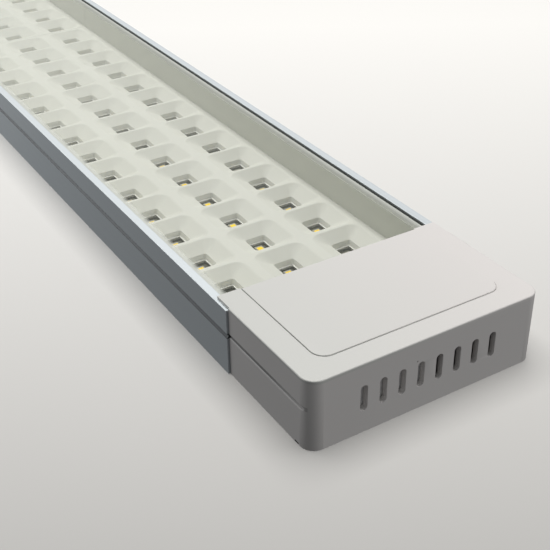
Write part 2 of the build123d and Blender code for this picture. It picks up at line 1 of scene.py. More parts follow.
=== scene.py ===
import json
import math
import bmesh
import bpy
from mathutils import Matrix, Vector


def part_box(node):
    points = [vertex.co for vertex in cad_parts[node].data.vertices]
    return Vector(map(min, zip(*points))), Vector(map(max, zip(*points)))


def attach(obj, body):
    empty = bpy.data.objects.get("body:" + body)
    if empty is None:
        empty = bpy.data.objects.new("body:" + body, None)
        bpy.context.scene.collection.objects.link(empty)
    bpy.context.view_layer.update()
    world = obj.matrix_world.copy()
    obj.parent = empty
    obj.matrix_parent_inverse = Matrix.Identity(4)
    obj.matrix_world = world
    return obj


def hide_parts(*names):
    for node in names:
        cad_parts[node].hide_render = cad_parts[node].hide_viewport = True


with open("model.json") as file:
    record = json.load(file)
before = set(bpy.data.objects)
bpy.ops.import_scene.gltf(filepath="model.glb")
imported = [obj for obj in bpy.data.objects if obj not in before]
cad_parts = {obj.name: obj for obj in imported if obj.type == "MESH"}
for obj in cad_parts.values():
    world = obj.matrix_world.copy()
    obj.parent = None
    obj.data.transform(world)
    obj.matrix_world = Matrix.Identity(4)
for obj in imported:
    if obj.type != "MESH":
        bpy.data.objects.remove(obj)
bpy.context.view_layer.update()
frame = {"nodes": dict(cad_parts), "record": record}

mm = 0.001
bodyOf = {node: body for body, nodes in frame["record"]["behaviour"]["bodies"].items() for node in nodes}
slotOf = {part["node"]: part["material_slot"] for part in frame["record"]["subparts"]}
print("frame loaded,", len(bodyOf), "nodes")


# Shader maths: a value that takes + - * ** and the comparisons > and <

class Value:
    def __init__(self, finish, socket):
        self.finish = finish
        self.socket = socket

    def math(self, operation, first, second):
        made = self.finish.node("ShaderNodeMath", {"operation": operation}, {0: first, 1: second})
        return Value(self.finish, made.outputs[0])

    def __add__(self, other):
        return self.math("ADD", self, other)

    def __radd__(self, other):
        return self.math("ADD", other, self)

    def __sub__(self, other):
        return self.math("SUBTRACT", self, other)

    def __rsub__(self, other):
        return self.math("SUBTRACT", other, self)

    def __mul__(self, other):
        return self.math("MULTIPLY", self, other)

    def __rmul__(self, other):
        return self.math("MULTIPLY", other, self)

    def __pow__(self, other):
        return self.math("POWER", self, other)

    def __gt__(self, other):
        return self.math("GREATER_THAN", self, other)

    def __lt__(self, other):
        return self.math("LESS_THAN", self, other)


class NodeTree:
    def __init__(self, tree):
        self.tree = tree

    def node(self, kind, settings=None, sockets=None):  # settings first, then values or links of its sockets
        made = self.tree.nodes.new(kind)
        for name, value in (settings or {}).items():
            setattr(made, name, value)
        for name, value in (sockets or {}).items():
            self.feed(made.inputs[name], value)
        return made

    def feed(self, socket, value):
        if isinstance(value, Value):
            value = value.socket
        if isinstance(value, bpy.types.NodeSocket):
            self.tree.links.new(value, socket)
        elif socket.type == "RGBA":
            socket.default_value = (*value, 1)
        else:
            socket.default_value = value


class Finish(NodeTree):
    def __init__(self, name):
        self.material = bpy.data.materials.new(name)
        self.material.use_nodes = True
        super().__init__(self.material.node_tree)
        self.tree.nodes.clear()
        self.shader = self.node("ShaderNodeBsdfPrincipled")
        self.node("ShaderNodeOutputMaterial", None, {"Surface": self.shader.outputs[0]})
        self.place = self.node("ShaderNodeTexCoord").outputs["Object"]

    def set(self, **sockets):
        names = {"colour": "Base Color", "rough": "Roughness", "metal": "Metallic", "alpha": "Alpha",
                 "ior": "IOR", "normal": "Normal", "gloss": "Specular IOR Level", "glow": "Emission Color",
                 "glowStrength": "Emission Strength"}
        for name, value in sockets.items():
            self.feed(self.shader.inputs[names[name]], value)

    def noise(self, scale, detail, rough=0.5, stretch=(1, 1, 1)):
        spread = self.node("ShaderNodeMapping", None, {"Vector": self.place, "Scale": stretch})
        made = self.node("ShaderNodeTexNoise", None, {
            "Vector": spread.outputs[0], "Scale": scale, "Detail": detail, "Roughness": rough})
        return Value(self, made.outputs["Fac"])

    def specks(self, scale, share, size):  # a few round specks, one in some of the cells
        cells = self.node("ShaderNodeTexVoronoi", None, {"Vector": self.place, "Scale": scale})
        parts = self.node("ShaderNodeSeparateColor", None, {0: cells.outputs["Color"]})
        chosen = Value(self, parts.outputs[0]) < share
        near = Value(self, cells.outputs["Distance"]) < Value(self, parts.outputs[1]) * size
        return chosen * near

    def along(self, axis):
        parts = self.node("ShaderNodeSeparateXYZ", None, {0: self.place})
        return Value(self, parts.outputs["XYZ".index(axis)])

    def fromMiddle(self, axis):  # how far from the middle of the light, on either side
        place = self.along(axis)
        return (place * place) ** 0.5

    def band(self, axis, low, high):  # one between two places along an axis, in millimetres
        place = self.along(axis)
        return (place > low * mm) * (place < high * mm)

    def ramp(self, value, start, end, low=0.0, high=1.0, smooth=False):
        made = self.node("ShaderNodeMapRange", {"interpolation_type": "SMOOTHSTEP" if smooth else "LINEAR"}, {
            "Value": value, "From Min": start, "From Max": end, "To Min": low, "To Max": high})
        return Value(self, made.outputs[0])

    def mix(self, share, first, second):
        made = self.node("ShaderNodeMix", {"data_type": "RGBA"}, {0: share, 6: first, 7: second})
        return made.outputs[2]

    def between(self, share, low, high):
        return low + share * (high - low)

    def bump(self, height, depth, strength):  # depth in millimetres
        made = self.node("ShaderNodeBump", None, {
            "Height": height, "Distance": depth * mm, "Strength": strength})
        return made.outputs[0]


# Finishes: places are in millimetres from the middle of the light's back

groove = {  # the V groove's painted shade: its levels, where it begins across the light, and how it fades at the ends
    "channelLow": 11.68, "capLow": 12.08, "high": 13.3, "inside": 36.2,
    "fadeFrom": 280.0, "fadeTo": 297.0, "endShare": 0.35,
}


def grooveShade(f, low):  # painted shade in the groove
    fade = f.ramp(f.fromMiddle("X"), groove["fadeFrom"] * mm, groove["fadeTo"] * mm, 1.0, groove["endShare"])
    return f.band("Z", low, groove["high"]) * (f.fromMiddle("Y") > groove["inside"] * mm) * fade


aluminium = {  # painted shade lies on the inner faces of the channel's lips, between two levels
    "dark": (0.53, 0.575, 0.60), "light": (0.59, 0.635, 0.655), "cloud": (0.62, 0.65, 0.66),
    "cloudShare": 0.3, "groovePaintedShade": (0.105, 0.113, 0.118), "lipPaintedShade": (0.15, 0.16, 0.16),
    "lipLow": 19.85, "lipHigh": 20.6, "lipInside": 34.95,
}


def anodisedAluminium():
    look = aluminium
    f = Finish("anodisedAluminium")
    streaks = f.noise(scale=1.0, detail=4.0, rough=0.6, stretch=(6, 2600, 2600))
    cloud = f.noise(scale=14.0, detail=2.0)
    colour = f.mix(streaks, look["dark"], look["light"])
    colour = f.mix(cloud * look["cloudShare"], colour, look["cloud"])
    # painted shade in the groove
    colour = f.mix(grooveShade(f, groove["channelLow"]), colour, look["groovePaintedShade"])
    # painted shade on the inner faces of the lips
    lips = f.band("Z", look["lipLow"], look["lipHigh"]) * (f.fromMiddle("Y") < look["lipInside"] * mm)
    f.set(colour=f.mix(lips, colour, look["lipPaintedShade"]), metal=0.3,
          rough=f.between(streaks, low=0.48, high=0.60), normal=f.bump(streaks, depth=0.01, strength=0.3))
    return f.material


notch = {  # in the near cap's foot, with a block behind it; painted shade: the block and the notch's inside are painted black
    "start": 293.6, "end": 295.4, "top": 0.6, "back": 36.88, "thick": 0.5, "slack": 0.02,
}


def notchShade(f):  # painted shade: the inside of the notch and the block behind it are painted black
    inside = f.band("X", notch["start"], notch["end"]) * (f.along("Z") < notch["top"] * mm)
    return inside * (f.along("Y") < (notch["slack"] - notch["back"]) * mm)


cap = {  # painted light and shade: the tops are darker on the left and lighter on the right, as the light falls across them
    "dark": (0.640, 0.619, 0.602), "light": (0.680, 0.658, 0.640), "groovePaintedShade": (0.16, 0.157, 0.153),
    "notch": (0.012, 0.012, 0.012), "speck": (0.25, 0.24, 0.23), "topPaintedShade": (0.572, 0.582, 0.550),
    "topPaintedLight": (0.728, 0.700, 0.680), "topLow": 20.72, "topHalf": 36.0, "topPaintedShare": 0.8,
}


def mouldedCap():
    look = cap
    half = look["topHalf"] * mm
    f = Finish("mouldedCap")
    grain = f.noise(scale=4200.0, detail=2.0, rough=0.6)
    cloud = f.noise(scale=45.0, detail=3.0)
    colour = f.mix(cloud, look["dark"], look["light"])
    # painted light and shade across the tops, darker on the left
    paintedTopLight = f.mix(f.ramp(f.along("Y"), -half, half), look["topPaintedShade"], look["topPaintedLight"])
    colour = f.mix((f.along("Z") > look["topLow"] * mm) * look["topPaintedShare"], colour, paintedTopLight)
    # painted shade in the groove
    colour = f.mix(grooveShade(f, groove["capLow"]), colour, look["groovePaintedShade"])
    # painted shade: the notch and the block behind it are painted black
    colour = f.mix(notchShade(f), colour, look["notch"])
    colour = f.mix(f.specks(scale=260.0, share=0.02, size=0.07), colour, look["speck"])
    f.set(colour=colour, rough=f.between(grain, low=0.42, high=0.58),
          normal=f.bump(grain, depth=0.02, strength=0.5), gloss=0.4)
    return f.material


moulding = {  # paler in the wells round the windows, below a level
    "dark": (0.655, 0.665, 0.60), "light": (0.695, 0.705, 0.64), "speck": (0.22, 0.22, 0.19),
    "well": (0.775, 0.785, 0.735), "wellTop": 6.82,
}


def whiteReflector():
    look = moulding
    f = Finish("whiteReflector")
    cloud = f.noise(scale=30.0, detail=3.0)
    grain = f.noise(scale=3000.0, detail=2.0)
    colour = f.mix(cloud, look["dark"], look["light"])
    colour = f.mix(f.along("Z") < look["wellTop"] * mm, colour, look["well"])
    colour = f.mix(f.specks(scale=220.0, share=0.05, size=0.10), colour, look["speck"])
    f.set(colour=colour, rough=f.between(cloud, low=0.58, high=0.70),
          normal=f.bump(grain, depth=0.01, strength=0.3), gloss=0.2)
    return f.material


sheet = {  # painted reflection: its long edges are painted pale and nearly opaque, standing in for the light reflected inside the sheet there; painted shade: a dark line where they go under the lips
    "clear": (0.80, 0.82, 0.75), "leastVeil": 0.02, "rimVeil": 0.96, "rimPower": 5,
    "paintedEdgeReflection": (0.71, 0.73, 0.675), "reflectionFrom": 32.1, "reflectionTo": 34.1, "reflectionShare": 0.80,
    "line": (0.10, 0.11, 0.10), "shadeLineFrom": 34.5,
}


def clearSheet():
    look = sheet
    f = Finish("clearSheet")
    haze = f.noise(scale=60.0, detail=3.0)
    rim = Value(f, f.node("ShaderNodeLayerWeight", None, {"Blend": 0.5}).outputs["Facing"])
    across = f.fromMiddle("Y")
    # painted reflection: pale, nearly opaque long edges
    edge = f.ramp(across, look["reflectionFrom"] * mm, look["reflectionTo"] * mm, 0.0, look["reflectionShare"])
    veil = f.between(edge, rim ** look["rimPower"] * look["rimVeil"] + look["leastVeil"], 1.0)
    colour = f.mix(edge, look["clear"], look["paintedEdgeReflection"])
    # painted shade: a dark line where the edges go under the lips
    colour = f.mix(across > look["shadeLineFrom"] * mm, colour, look["line"])
    f.set(colour=colour, rough=f.between(haze, low=0.03, high=0.09), alpha=veil, ior=1.5)
    return f.material


def boardMask():
    f = Finish("boardMask")
    weave = f.noise(scale=2200.0, detail=2.0, stretch=(1, 0.2, 1))
    # painted shade: the board is painted dark olive, standing in for the shade it lies in below the windows
    colour = f.mix(weave, (0.064, 0.066, 0.045), (0.092, 0.094, 0.066))
    f.set(colour=colour, rough=f.between(weave, low=0.45, high=0.6),
          normal=f.bump(weave, depth=0.01, strength=0.4), gloss=0.25)
    return f.material


plastic = {"rough": 0.45, "smoother": 0.06, "rougher": 0.08, "grain": 2500.0}


def plainPlastic(name, dark, light, rough=plastic["rough"], grainScale=plastic["grain"]):
    f = Finish(name)
    grain = f.noise(scale=grainScale, detail=2.0)
    cloud = f.noise(scale=90.0, detail=3.0)
    f.set(colour=f.mix(cloud, dark, light),
          rough=f.between(grain, rough - plastic["smoother"], rough + plastic["rougher"]),
          normal=f.bump(grain, depth=0.015, strength=0.4))
    return f.material


def phosphorYellow():
    f = Finish("phosphorYellow")
    grain = f.noise(scale=5000.0, detail=3.0)
    colour = f.mix(grain, (0.80, 0.54, 0.008), (0.90, 0.64, 0.015))
    # painted light: a faint glow in the phosphor's own colour makes it brighter than the lamps alone
    f.set(colour=colour, rough=f.between(grain, low=0.35, high=0.5), gloss=0.2,
          glow=colour, glowStrength=0.25)
    return f.material


def platedMetal(name, dark, light):
    f = Finish(name)
    turned = f.noise(scale=1800.0, detail=3.0, rough=0.6)
    f.set(colour=f.mix(turned, dark, light), metal=1.0, rough=f.between(turned, low=0.22, high=0.4),
          normal=f.bump(turned, depth=0.01, strength=0.3))
    return f.material


def insulation(name, dark, light):
    f = Finish(name)
    drawn = f.noise(scale=1.0, detail=3.0, stretch=(40, 2500, 2500))
    f.set(colour=f.mix(drawn, dark, light), rough=f.between(drawn, low=0.38, high=0.52),
          normal=f.bump(drawn, depth=0.02, strength=0.4))
    return f.material


earth = {"stripe": 5.15, "green": (0.05, 0.22, 0.04), "yellow": (0.72, 0.58, 0.03)}  # yellow above a level


def earthInsulation():
    f = Finish("earthInsulation")
    drawn = f.noise(scale=900.0, detail=2.0)
    colour = f.mix(f.along("Z") > earth["stripe"] * mm, earth["green"], earth["yellow"])
    f.set(colour=colour, rough=f.between(drawn, low=0.38, high=0.52))
    return f.material


def driverMask():
    f = Finish("driverMask")
    weave = f.noise(scale=1800.0, detail=2.0)
    lines = f.noise(scale=420.0, detail=0.0, stretch=(1, 2.2, 1)) > 0.56
    colour = f.mix(lines, (0.014, 0.085, 0.032), (0.022, 0.125, 0.048))
    f.set(colour=colour, rough=f.between(weave, low=0.22, high=0.36),
          normal=f.bump(lines, depth=0.02, strength=0.5))
    return f.material


def enamelledCopper():
    f = Finish("enamelledCopper")
    turns = f.node("ShaderNodeTexWave", {"bands_direction": "Z"}, {"Vector": f.place, "Scale": 260.0})
    winding = Value(f, turns.outputs["Fac"])
    f.set(colour=f.mix(winding, (0.30, 0.10, 0.03), (0.62, 0.26, 0.10)), metal=0.8,
          rough=f.between(winding, low=0.25, high=0.4), normal=f.bump(winding, depth=0.15, strength=0.8))
    return f.material


finishes = {
    "anodised_aluminium": anodisedAluminium(),
    "clear_sheet": clearSheet(),
    "white_moulding": whiteReflector(),
    "cap_plastic": mouldedCap(),
    "led_board_mask": boardMask(),
    "led_body": plainPlastic("ledBody", (0.66, 0.66, 0.62), (0.74, 0.74, 0.70)),
    "phosphor": phosphorYellow(),
    # painted shade: a dark olive copy of the LED body's finish, for the LEDs
    "led_body_painted_shade": plainPlastic("ledShell", (0.30, 0.295, 0.235), (0.36, 0.355, 0.29)),
    "zinc_steel": platedMetal("zincSteel", (0.50, 0.50, 0.48), (0.66, 0.66, 0.64)),
    "grey_rubber": plainPlastic("greyRubber", (0.085, 0.085, 0.088), (0.11, 0.11, 0.112), 0.62),
    "terminal_plastic": plainPlastic("terminalPlastic", (0.78, 0.78, 0.775), (0.84, 0.84, 0.835)),
    "button_orange": plainPlastic("buttonOrange", (0.68, 0.15, 0.012), (0.75, 0.19, 0.02)),
    "button_green": plainPlastic("buttonGreen", (0.03, 0.22, 0.04), (0.045, 0.27, 0.06)),
    "wire_brown": insulation("wireBrown", (0.075, 0.028, 0.010), (0.11, 0.042, 0.016)),
    "wire_blue": insulation("wireBlue", (0.010, 0.05, 0.28), (0.016, 0.075, 0.36)),
    "wire_green_yellow": earthInsulation(),
    "wire_red": insulation("wireRed", (0.38, 0.010, 0.008), (0.48, 0.016, 0.012)),
    "wire_black": insulation("wireBlack", (0.008, 0.008, 0.008), (0.016, 0.016, 0.016)),
    "driver_mask": driverMask(),
    "black_plastic": plainPlastic("blackPlastic", (0.012, 0.012, 0.012), (0.022, 0.022, 0.022), 0.4),
    "blue_epoxy": plainPlastic("blueEpoxy", (0.012, 0.05, 0.25), (0.02, 0.075, 0.32), 0.25, 600.0),
    "yellow_box": plainPlastic("yellowBox", (0.58, 0.38, 0.02), (0.66, 0.45, 0.035), 0.3),
    "ferrite": plainPlastic("ferrite", (0.018, 0.018, 0.020), (0.035, 0.035, 0.037), 0.5, 1800.0),
    "yellow_tape": plainPlastic("yellowTape", (0.66, 0.44, 0.03), (0.74, 0.52, 0.05), 0.22, 700.0),
    "copper": enamelledCopper(),
    "tinned_brass": platedMetal("tinnedBrass", (0.56, 0.51, 0.40), (0.70, 0.65, 0.53)),
}
print("finishes made,", len(finishes))


# Pieces

def addPiece(name, mesh, body, slot, node, finish=None):
    piece = bpy.data.objects.new(name, mesh)
    bpy.context.scene.collection.objects.link(piece)
    mesh.materials.clear()
    mesh.materials.append(finishes[finish or slot])
    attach(piece, body)
    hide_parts(node)


shading = {"flatArea": 15e-6, "flatDegrees": 0.5}  # faces larger than this, in square metres, stay flat


def finishMesh(bm, name, sharpDegrees):
    flat = {face for face in bm.faces if face.calc_area() > shading["flatArea"]}
    for face in bm.faces:
        face.smooth = True
    for edge in bm.edges:
        limit = shading["flatDegrees"] if flat.intersection(edge.link_faces) else sharpDegrees
        edge.smooth = edge.calc_face_angle(0.0) < math.radians(limit)
    mesh = bpy.data.meshes.new(name)
    bm.to_mesh(mesh)
    bm.free()
    return mesh


softEdges = {  # width of the worn or moulded edge on each node, in millimetres
    "channel_extrusion": 0.12,
    "clear_cover": 0.1,
    "end_cap_near": 0.06,
    "end_cap_far": 0.06,
    "base_plate_near": 0.12,
    "base_plate_far": 0.12,
    "cable_grommet": 0.3,
    "terminal_block": 0.3,
    "terminal_button_earth": 0.4,
    "terminal_button_line": 0.4,
    "terminal_button_neutral": 0.4,
    "board_bridge": 0.3,
    "board_connector": 0.3,
    "driver_input_connector": 0.3,
    "driver_output_connector": 0.3,
    "fuse": 0.4,
    "varistor": 0.7,
    "film_capacitor": 0.5,
    "bridge_rectifier": 0.3,
    "transformer_core": 0.25,
    "transformer_bobbin": 0.3,
    "cap_screws": 0.15,
    "base_screws": 0.1,
    "board_screws": 0.12,
    "terminal_screws": 0.1,
    "driver_screws": 0.12,
    "earth_lug": 0.15,
    "terminal_clamps": 0.1,
}
softening = {  # lengths in millimetres, angles in degrees
    "merge": 0.0005, "touch": 0.01, "coplanar": 0.3, "corner": 38, "steps": 2, "sharp": 25,
}
ventRims = {"width": 0.34, "steps": 3, "low": 6.0, "high": 16.0, "corner": 60}  # the slots in the end faces
lipEdge = {"inside": 34.9, "width": 0.18, "steps": 4}  # the rolled inner edge of the channel's lips


def roundEdges(bm, edges, width, steps):
    bmesh.ops.bevel(bm, geom=edges, offset=width * mm, segments=steps, profile=0.5, affect="EDGES",
                    clamp_overlap=True)


def cornersOver(bm, degrees):
    return [edge for edge in bm.edges if edge.is_manifold and edge.calc_face_angle() > math.radians(degrees)]


def roundVents(bm, node):  # wider rounding on the rims in the end face
    low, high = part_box(node)
    face = high.x if high.x > 0 else low.x
    rims = []
    for edge in cornersOver(bm, ventRims["corner"]):
        onFace = all(abs(vert.co.x - face) < softening["touch"] * mm for vert in edge.verts)
        inBand = all(ventRims["low"] * mm < vert.co.z < ventRims["high"] * mm for vert in edge.verts)
        if onFace and inBand:
            rims.append(edge)
    roundEdges(bm, rims, ventRims["width"], ventRims["steps"])


def roundLips(bm, node):
    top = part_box(node)[1].z
    touch = softening["touch"] * mm
    inner = []
    for edge in bm.edges:
        onTop = all(abs(vert.co.z - top) < touch for vert in edge.verts)
        atLip = all(abs(abs(vert.co.y) - lipEdge["inside"] * mm) < touch for vert in edge.verts)
        if onTop and atLip:
            inner.append(edge)
    roundEdges(bm, inner, lipEdge["width"], lipEdge["steps"])


def notchShadeBlock(bm):  # the block behind the notch, painted black as shade
    size = Vector((notch["end"] - notch["start"], notch["thick"], notch["top"])) * mm
    middle = Vector((notch["start"] * mm, -notch["back"] * mm, 0)) + size / 2
    bmesh.ops.create_cube(bm, size=1, matrix=Matrix.Translation(middle) @ Matrix.Diagonal((*size, 1)))


def softCopy(node):
    width = softEdges.get(node)
    bm = bmesh.new()
    bm.from_mesh(frame["nodes"][node].data)
    bmesh.ops.remove_doubles(bm, verts=bm.verts, dist=softening["merge"] * mm)
    if width:
        coplanar = math.radians(softening["coplanar"])
        bmesh.ops.dissolve_limit(bm, angle_limit=coplanar, verts=bm.verts, edges=bm.edges)
        if node.startswith("end_cap"):
            roundVents(bm, node)
        if node == "channel_extrusion":
            roundLips(bm, node)
        roundEdges(bm, cornersOver(bm, softening["corner"]), width, softening["steps"])
    # a block behind the notch, painted black as shade
    if node == "end_cap_near":
        notchShadeBlock(bm)
    name = node + "Soft"
    addPiece(name, finishMesh(bm, name, softening["sharp"]), bodyOf[node], slotOf[node], node)


modelledNodes = {"reflector_near", "reflector_far", "led_packages", "led_phosphors"}
for node in sorted(bodyOf):
    if node not in modelledNodes:
        softCopy(node)
print("edges softened")


# Rows: one row across the light, repeated along each half by Geometry Nodes

rowLayout = {  # sizes in millimetres, and how far each column's LEDs sit off the middle of their pockets
    "rows": 15, "rowPitch": 17.2, "firstRow": 9.5, "columns": (-1, 0, 1), "columnPitch": 21.2,
    "ledOffsets": ((0.8, -0.3), (0.0, 0.0), (0.9, 0.1)),
}


class RowTree(NodeTree):
    def __init__(self, name):
        super().__init__(bpy.data.node_groups.new(name, "GeometryNodeTree"))
        self.tree.interface.new_socket("Geometry", in_out="OUTPUT", socket_type="NodeSocketGeometry")
        self.entry = self.node("NodeGroupInput")
        self.exit = self.node("NodeGroupOutput")
        self.values = {}

    def input(self, name, kind, value):
        made = self.tree.interface.new_socket(name, in_out="INPUT", socket_type="NodeSocket" + kind)
        self.values[made.identifier] = value
        return self.entry.outputs[name]

    def grow(self, geometry, slot):  # realised, coloured and turned into a plain mesh
        whole = self.node("GeometryNodeRealizeInstances", None, {"Geometry": geometry})
        finish = self.input("Finish", "Material", finishes[slot])
        shown = self.node("GeometryNodeSetMaterial", None, {"Geometry": whole.outputs[0], "Material": finish})
        self.feed(self.exit.inputs[0], shown.outputs[0])
        carrier = bpy.data.objects.new(self.tree.name, bpy.data.meshes.new(self.tree.name))
        bpy.context.scene.collection.objects.link(carrier)
        modifier = carrier.modifiers.new("grow", "NODES")
        modifier.node_group = self.tree
        for identifier, value in self.values.items():
            modifier[identifier] = value
        graph = bpy.context.evaluated_depsgraph_get()
        mesh = bpy.data.meshes.new_from_object(carrier.evaluated_get(graph))
        carrier.modifiers.clear()
        bpy.data.objects.remove(carrier)
        return mesh


def repeatRow(name, rowMesh, slot, bothHalves):
    r = rowLayout
    tree = RowTree(name)
    rows = tree.input("Rows", "Int", r["rows"])
    pitch = tree.input("Row pitch", "Float", r["rowPitch"] * mm)
    first = tree.input("First row", "Float", r["firstRow"] * mm)
    shape = tree.input("Row", "Object", bpy.data.objects.new(name + "Row", rowMesh))
    begin = tree.node("ShaderNodeCombineXYZ", None, {"X": first})
    step = tree.node("ShaderNodeCombineXYZ", None, {"X": pitch})
    line = tree.node("GeometryNodeMeshLine", {"mode": "OFFSET"}, {
        "Count": rows, "Start Location": begin.outputs[0], "Offset": step.outputs[0]})
    source = tree.node("GeometryNodeObjectInfo", None, {"Object": shape})
    placed = tree.node("GeometryNodeInstanceOnPoints", None, {
        "Points": line.outputs[0], "Instance": source.outputs["Geometry"]}).outputs[0]
    if bothHalves:  # the far half is the near one turned half round
        turned = tree.node("GeometryNodeTransform", None, {"Geometry": placed, "Rotation": (0, 0, math.pi)})
        both = tree.node("GeometryNodeJoinGeometry")
        tree.feed(both.inputs[0], placed)
        tree.feed(both.inputs[0], turned.outputs[0])
        placed = both.outputs[0]
    return tree.grow(placed, slot)


def rowOf(bm, offsets):  # copies of a shape, one in each column
    shape = bpy.data.meshes.new("column")
    bm.to_mesh(shape)
    bm.free()
    row = bmesh.new()
    for column, (dx, dy) in zip(rowLayout["columns"], offsets):
        before = len(row.verts)
        row.from_mesh(shape)
        row.verts.ensure_lookup_table()
        place = (dx * mm, (column * rowLayout["columnPitch"] + dy) * mm, 0)
        bmesh.ops.translate(row, verts=row.verts[before:], vec=place)
    mesh = bpy.data.meshes.new("row")
    row.to_mesh(mesh)
    row.free()
    return mesh


# LED packages: a pale body with a cup, painted dark as shade, and the phosphor in the cup

led = {  # sizes in millimetres, with "key" the cut corner that marks the cathode and "nick" a smaller cut
    "length": 3.5, "width": 2.8, "height": 0.7, "cupLength": 2.0, "cupWidth": 1.8, "cupDepth": 0.3,
    "edge": 0.12, "cupSlope": 0.25, "dip": 0.05, "key": 0.45, "nick": 0.1,
}


def ledRing(bm, length, width, level, cut):  # a rectangle with one cut corner
    x = length / 2
    y = width / 2
    points = [(x, y), (-x, y), (-x, -y), (x - cut, -y), (x, -y + cut)]
    return [bm.verts.new((px * mm, py * mm, level * mm)) for px, py in points]


def joinRings(bm, rings):
    for low, high in zip(rings, rings[1:]):
        for i in range(len(low)):
            j = (i + 1) % len(low)
            bm.faces.new((low[i], low[j], high[j], high[i]))


def ledSolid(rings):  # closed below the first ring and on the last one
    bm = bmesh.new()
    made = [ledRing(bm, *ring) for ring in rings]
    joinRings(bm, made)
    bm.faces.new(made[0][::-1])
    bm.faces.new(made[-1])
    return bm


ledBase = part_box("led_packages")[0].z / mm
ledTop = ledBase + led["height"]
cupMouth = (led["cupLength"], led["cupWidth"])
cupFloor = [size - 2 * led["cupSlope"] for size in cupMouth]
cupLevel = ledTop - led["cupDepth"]


def ledBody():
    s = led
    inset = 2 * s["edge"]
    return ledSolid([
        (s["length"], s["width"], ledBase, s["nick"]),
        (s["length"], s["width"], ledTop - s["edge"], s["nick"]),
        (s["length"] - inset, s["width"] - inset, ledTop, s["key"]),
        (*cupMouth, ledTop, s["nick"]),
        (*cupFloor, cupLevel, s["nick"]),
    ])


def ledPhosphor():
    s = led
    return ledSolid([
        (*cupFloor, cupLevel, s["nick"]),
        (*cupMouth, ledTop, s["nick"]),
        (*cupFloor, ledTop - s["dip"], s["nick"]),
    ])


# the LED bodies take the finish painted dark as shade
for name, shape, slot, finish, node in (
        ("ledPackages", ledBody, "led_body", "led_body_painted_shade", "led_packages"),
        ("ledPhosphors", ledPhosphor, "phosphor", "phosphor", "led_phosphors")):
    mesh = repeatRow(name, rowOf(shape(), rowLayout["ledOffsets"]), finish, True)
    addPiece(name, mesh, "light", slot, node, finish)
print("LEDs made")


# Reflector: rows of pockets with the tray's walls round them

reflectorLow, reflectorHigh = (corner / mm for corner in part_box("reflector_near"))
pocket = {  # half sizes and corner radius of each loop, and levels above the light's back, in millimetres
    "deck": 9.4, "skin": 8.2, "board": reflectorLow.z, "ledge": 5.2, "wellTop": 6.8,
    "window": (2.75, 2.75, 0.15), "undercut": 0.6, "wellFoot": (3.2, 3.1, 0.7), "well": (3.7, 3.55, 0.9),
    "slopeFoot": (3.77, 3.62, 0.95), "slopeHead": (8.02, 8.2, 3.0), "brow": (8.16, 9.5, 3.9), "edge": 0.07,
    "browSteps": 4, "cornerSteps": 5, "rimStep": 5.4, "footHalf": 5.0, "skinHalf": 9.35, "merge": 0.001,
}
tray = {  # lengths in millimetres, "sharp" in degrees
    "half": 32.25, "mouthHalf": 33.0, "wall": 1.0, "flange": 1.0, "flangeHalf": reflectorHigh.y,
    "flangeTop": reflectorHigh.z, "seam": reflectorLow.x, "end": reflectorHigh.x, "touch": 0.01,
    "merge": 0.002, "sliver": 0.0005, "sharp": 20,
}
quarters = ((1, 1), (-1, 1), (-1, -1), (1, -1))  # the corners of a loop, in order


def roundedLoop(sizes, levelX, levelY):  # a rounded rectangle with levels for its ends and sides
    halfX, halfY, radius = sizes
    steps = pocket["cornerSteps"]
    points = []
    for quarter, (signX, signY) in enumerate(quarters):
        for step in range(steps + 1):
            angle = math.radians(90 * quarter + 90 * step / steps)
            share = math.cos(angle) ** 2
            x = signX * (halfX - radius) + radius * math.cos(angle)
            y = signY * (halfY - radius) + radius * math.sin(angle)
            points.append((x, y, levelX * share + levelY * (1 - share)))
    return points


def rimOffsets(half):  # where the edge of one cell has points, measured from its middle
    step = pocket["rimStep"]
    return [-half, step / 2 - half, step - half, half - step, half - step / 2, half]


def rimLoop():  # the cell's square edge, in the same order as a rounded loop
    halfX = rowLayout["rowPitch"] / 2
    halfY = rowLayout["columnPitch"] / 2
    step = pocket["rimStep"]
    along = [(0, -step), (0, -step / 2), (0, 0), (0, 0), (-step / 2, 0), (-step, 0)]
    points = []
    for quarter in range(len(quarters)):
        turn = Matrix.Rotation(math.radians(90 * quarter), 2)
        corner = Vector((halfX, halfY) if quarter % 2 == 0 else (halfY, halfX))
        for offset in along:
            point = turn @ (corner + Vector(offset))
            points.append((point.x, point.y, pocket["deck"]))
    return points


def slopeLevels():  # how steep the two pairs of slopes are, so that each brow ends level with the deck
    p = pocket
    rise = p["deck"] - p["wellTop"] - p["edge"]
    slopes = []
    for axis in (0, 1):
        run = p["slopeHead"][axis] - p["slopeFoot"][axis] + (p["brow"][axis] - p["slopeHead"][axis]) / 2
        slopes.append(rise / run)
    return slopes


def pocketLoops():  # from the window at the board up to the deck
    p = pocket
    edge = p["edge"]
    window = p["window"]
    foot = p["wellFoot"]

    def grown(sizes, by):
        return [size + by for size in sizes]

    flat = [
        (grown(window, p["undercut"]), p["board"]),
        (window, p["ledge"] - edge),
        (grown(window, edge), p["ledge"]),
        (grown(foot, -edge), p["ledge"]),
        (foot, p["ledge"] + edge),
        (p["well"], p["wellTop"] - edge),
        (p["slopeFoot"], p["wellTop"] + edge),
    ]
    loops = [roundedLoop(sizes, level, level) for sizes, level in flat]
    slopes = slopeLevels()
    for step in range(p["browSteps"] + 1):
        share = step / p["browSteps"]
        sizes = [head + (brow - head) * share for head, brow in zip(p["slopeHead"], p["brow"])]
        levels = [p["deck"] - slopes[axis] * (p["brow"][axis] - p["slopeHead"][axis]) / 2 * (1 - share) ** 2
                  for axis in (0, 1)]
        loops.append(roundedLoop(sizes, *levels))
    loops.append(rimLoop())
    return loops


